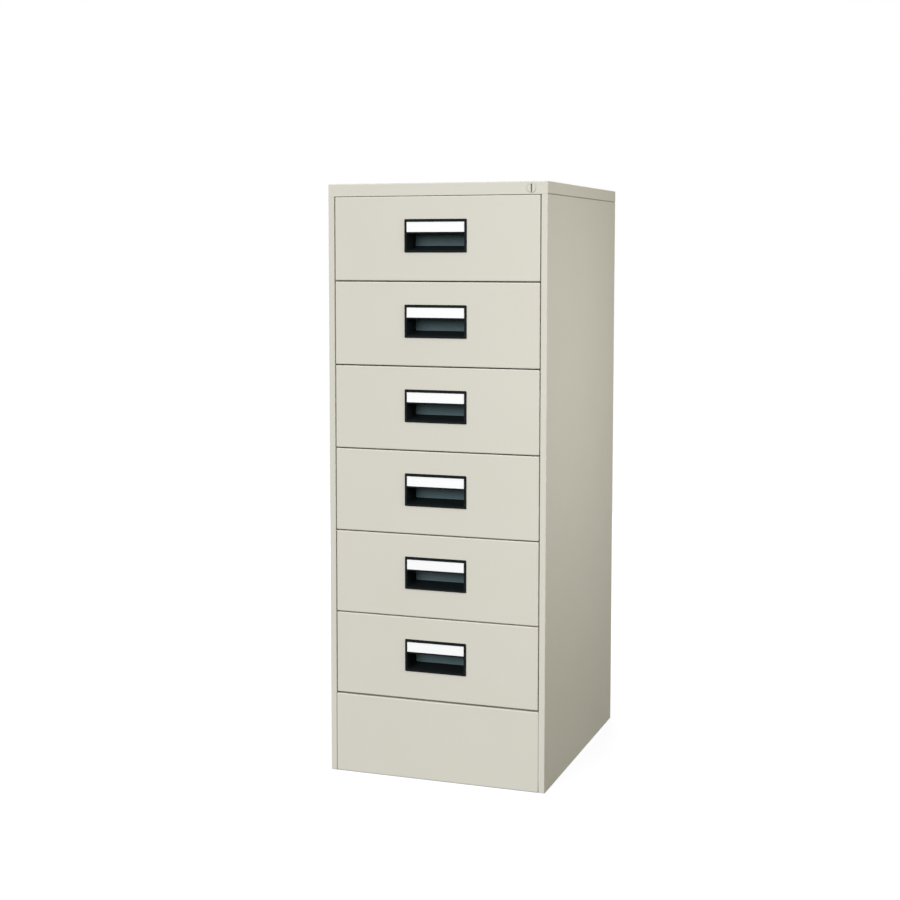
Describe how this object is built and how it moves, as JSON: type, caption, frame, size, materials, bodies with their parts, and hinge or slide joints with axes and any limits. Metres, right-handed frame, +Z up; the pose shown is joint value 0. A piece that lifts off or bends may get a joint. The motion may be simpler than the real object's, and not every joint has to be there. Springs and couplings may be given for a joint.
{
  "type": "card cabinet",
  "caption": "Tall steel cabinet of flush drawers on telescopic slides for B6 cards, with black recessed pulls, sliding card followers and a lock bar.",
  "frame": {"origin": "centre of the footprint at floor level", "axes": "+X to the right seen from the front, drawer fronts face -Y, +Z up"},
  "size_m": [0.508, 0.62, 1.335],
  "materials": {
    "case_paint": "satin",
    "drawer_paint": "satin",
    "tray_paint": "satin",
    "inner_paint": "satin",
    "lock_paint": "satin",
    "zinc": "satin",
    "pull_plastic": "matte",
    "label_paper": "matte"
  },
  "bodies": {
    "case": {"left_side_panel": "case_paint", "right_side_panel": "case_paint", "back_panel": "case_paint", "top_cap": "case_paint", "plinth_panel": "case_paint", "base_pan": "inner_paint", "slide_uprights": "inner_paint", "cabinet_rails": "zinc", "lock_body": "lock_paint", "lock_bar_guides": "zinc"},
    "lock_plug": {"lock_plug": "lock_paint"},
    "lock_bar": {"lock_bar": "zinc"},
    "drawer_1": {"drawer_1_front": "drawer_paint", "drawer_1_tray": "tray_paint", "drawer_1_pull": "pull_plastic", "drawer_1_label": "label_paper", "drawer_1_drawer_rails": "zinc"},
    "drawer_1_mid": {"drawer_1_mid_rails": "zinc"},
    "drawer_1_follower_left": {"drawer_1_follower_left": "tray_paint"},
    "drawer_1_follower_right": {"drawer_1_follower_right": "tray_paint"},
    "drawer_2": {"drawer_2_front": "drawer_paint", "drawer_2_tray": "tray_paint", "drawer_2_pull": "pull_plastic", "drawer_2_label": "label_paper", "drawer_2_drawer_rails": "zinc"},
    "drawer_2_mid": {"drawer_2_mid_rails": "zinc"},
    "drawer_2_follower_left": {"drawer_2_follower_left": "tray_paint"},
    "drawer_2_follower_right": {"drawer_2_follower_right": "tray_paint"},
    "drawer_3": {"drawer_3_front": "drawer_paint", "drawer_3_tray": "tray_paint", "drawer_3_pull": "pull_plastic", "drawer_3_label": "label_paper", "drawer_3_drawer_rails": "zinc"},
    "drawer_3_mid": {"drawer_3_mid_rails": "zinc"},
    "drawer_3_follower_left": {"drawer_3_follower_left": "tray_paint"},
    "drawer_3_follower_right": {"drawer_3_follower_right": "tray_paint"},
    "drawer_4": {"drawer_4_front": "drawer_paint", "drawer_4_tray": "tray_paint", "drawer_4_pull": "pull_plastic", "drawer_4_label": "label_paper", "drawer_4_drawer_rails": "zinc"},
    "drawer_4_mid": {"drawer_4_mid_rails": "zinc"},
    "drawer_4_follower_left": {"drawer_4_follower_left": "tray_paint"},
    "drawer_4_follower_right": {"drawer_4_follower_right": "tray_paint"},
    "drawer_5": {"drawer_5_front": "drawer_paint", "drawer_5_tray": "tray_paint", "drawer_5_pull": "pull_plastic", "drawer_5_label": "label_paper", "drawer_5_drawer_rails": "zinc"},
    "drawer_5_mid": {"drawer_5_mid_rails": "zinc"},
    "drawer_5_follower_left": {"drawer_5_follower_left": "tray_paint"},
    "drawer_5_follower_right": {"drawer_5_follower_right": "tray_paint"},
    "drawer_6": {"drawer_6_front": "drawer_paint", "drawer_6_tray": "tray_paint", "drawer_6_pull": "pull_plastic", "drawer_6_label": "label_paper", "drawer_6_drawer_rails": "zinc"},
    "drawer_6_mid": {"drawer_6_mid_rails": "zinc"},
    "drawer_6_follower_left": {"drawer_6_follower_left": "tray_paint"},
    "drawer_6_follower_right": {"drawer_6_follower_right": "tray_paint"}
  },
  "joints": [
    {"name": "lock_turn", "type": "hinge", "parent": "case", "child": "lock_plug", "pos_m": [0.2175, -0.308, 1.32], "axis": [0, -1, 0], "range_deg": [0, 90]},
    {"name": "lock_bar_lift", "type": "slide", "parent": "case", "child": "lock_bar", "axis": [0, 0, 1], "range_m": [0, 0.01061]},
    {"name": "drawer_1_slide", "type": "slide", "parent": "case", "child": "drawer_1", "axis": [0, -1, 0], "range_m": [0, 0.52]},
    {"name": "drawer_1_mid_slide", "type": "slide", "parent": "case", "child": "drawer_1_mid", "axis": [0, -1, 0], "range_m": [0, 0.26]},
    {"name": "drawer_1_follower_left_slide", "type": "slide", "parent": "drawer_1", "child": "drawer_1_follower_left", "axis": [0, -1, 0], "range_m": [0, 0.42]},
    {"name": "drawer_1_follower_right_slide", "type": "slide", "parent": "drawer_1", "child": "drawer_1_follower_right", "axis": [0, -1, 0], "range_m": [0, 0.42]},
    {"name": "drawer_2_slide", "type": "slide", "parent": "case", "child": "drawer_2", "axis": [0, -1, 0], "range_m": [0, 0.52]},
    {"name": "drawer_2_mid_slide", "type": "slide", "parent": "case", "child": "drawer_2_mid", "axis": [0, -1, 0], "range_m": [0, 0.26]},
    {"name": "drawer_2_follower_left_slide", "type": "slide", "parent": "drawer_2", "child": "drawer_2_follower_left", "axis": [0, -1, 0], "range_m": [0, 0.42]},
    {"name": "drawer_2_follower_right_slide", "type": "slide", "parent": "drawer_2", "child": "drawer_2_follower_right", "axis": [0, -1, 0], "range_m": [0, 0.42]},
    {"name": "drawer_3_slide", "type": "slide", "parent": "case", "child": "drawer_3", "axis": [0, -1, 0], "range_m": [0, 0.52]},
    {"name": "drawer_3_mid_slide", "type": "slide", "parent": "case", "child": "drawer_3_mid", "axis": [0, -1, 0], "range_m": [0, 0.26]},
    {"name": "drawer_3_follower_left_slide", "type": "slide", "parent": "drawer_3", "child": "drawer_3_follower_left", "axis": [0, -1, 0], "range_m": [0, 0.42]},
    {"name": "drawer_3_follower_right_slide", "type": "slide", "parent": "drawer_3", "child": "drawer_3_follower_right", "axis": [0, -1, 0], "range_m": [0, 0.42]},
    {"name": "drawer_4_slide", "type": "slide", "parent": "case", "child": "drawer_4", "axis": [0, -1, 0], "range_m": [0, 0.52]},
    {"name": "drawer_4_mid_slide", "type": "slide", "parent": "case", "child": "drawer_4_mid", "axis": [0, -1, 0], "range_m": [0, 0.26]},
    {"name": "drawer_4_follower_left_slide", "type": "slide", "parent": "drawer_4", "child": "drawer_4_follower_left", "axis": [0, -1, 0], "range_m": [0, 0.42]},
    {"name": "drawer_4_follower_right_slide", "type": "slide", "parent": "drawer_4", "child": "drawer_4_follower_right", "axis": [0, -1, 0], "range_m": [0, 0.42]},
    {"name": "drawer_5_slide", "type": "slide", "parent": "case", "child": "drawer_5", "axis": [0, -1, 0], "range_m": [0, 0.52]},
    {"name": "drawer_5_mid_slide", "type": "slide", "parent": "case", "child": "drawer_5_mid", "axis": [0, -1, 0], "range_m": [0, 0.26]},
    {"name": "drawer_5_follower_left_slide", "type": "slide", "parent": "drawer_5", "child": "drawer_5_follower_left", "axis": [0, -1, 0], "range_m": [0, 0.42]},
    {"name": "drawer_5_follower_right_slide", "type": "slide", "parent": "drawer_5", "child": "drawer_5_follower_right", "axis": [0, -1, 0], "range_m": [0, 0.42]},
    {"name": "drawer_6_slide", "type": "slide", "parent": "case", "child": "drawer_6", "axis": [0, -1, 0], "range_m": [0, 0.52]},
    {"name": "drawer_6_mid_slide", "type": "slide", "parent": "case", "child": "drawer_6_mid", "axis": [0, -1, 0], "range_m": [0, 0.26]},
    {"name": "drawer_6_follower_left_slide", "type": "slide", "parent": "drawer_6", "child": "drawer_6_follower_left", "axis": [0, -1, 0], "range_m": [0, 0.42]},
    {"name": "drawer_6_follower_right_slide", "type": "slide", "parent": "drawer_6", "child": "drawer_6_follower_right", "axis": [0, -1, 0], "range_m": [0, 0.42]}
  ],
  "couplings": [
    {"joint": "lock_turn", "follows": "lock_bar_lift", "rad_per_m": 148.1},
    {"joint": "drawer_1_mid_slide", "follows": "drawer_1_slide", "ratio": 0.5},
    {"joint": "drawer_2_mid_slide", "follows": "drawer_2_slide", "ratio": 0.5},
    {"joint": "drawer_3_mid_slide", "follows": "drawer_3_slide", "ratio": 0.5},
    {"joint": "drawer_4_mid_slide", "follows": "drawer_4_slide", "ratio": 0.5},
    {"joint": "drawer_5_mid_slide", "follows": "drawer_5_slide", "ratio": 0.5},
    {"joint": "drawer_6_mid_slide", "follows": "drawer_6_slide", "ratio": 0.5}
  ]
}
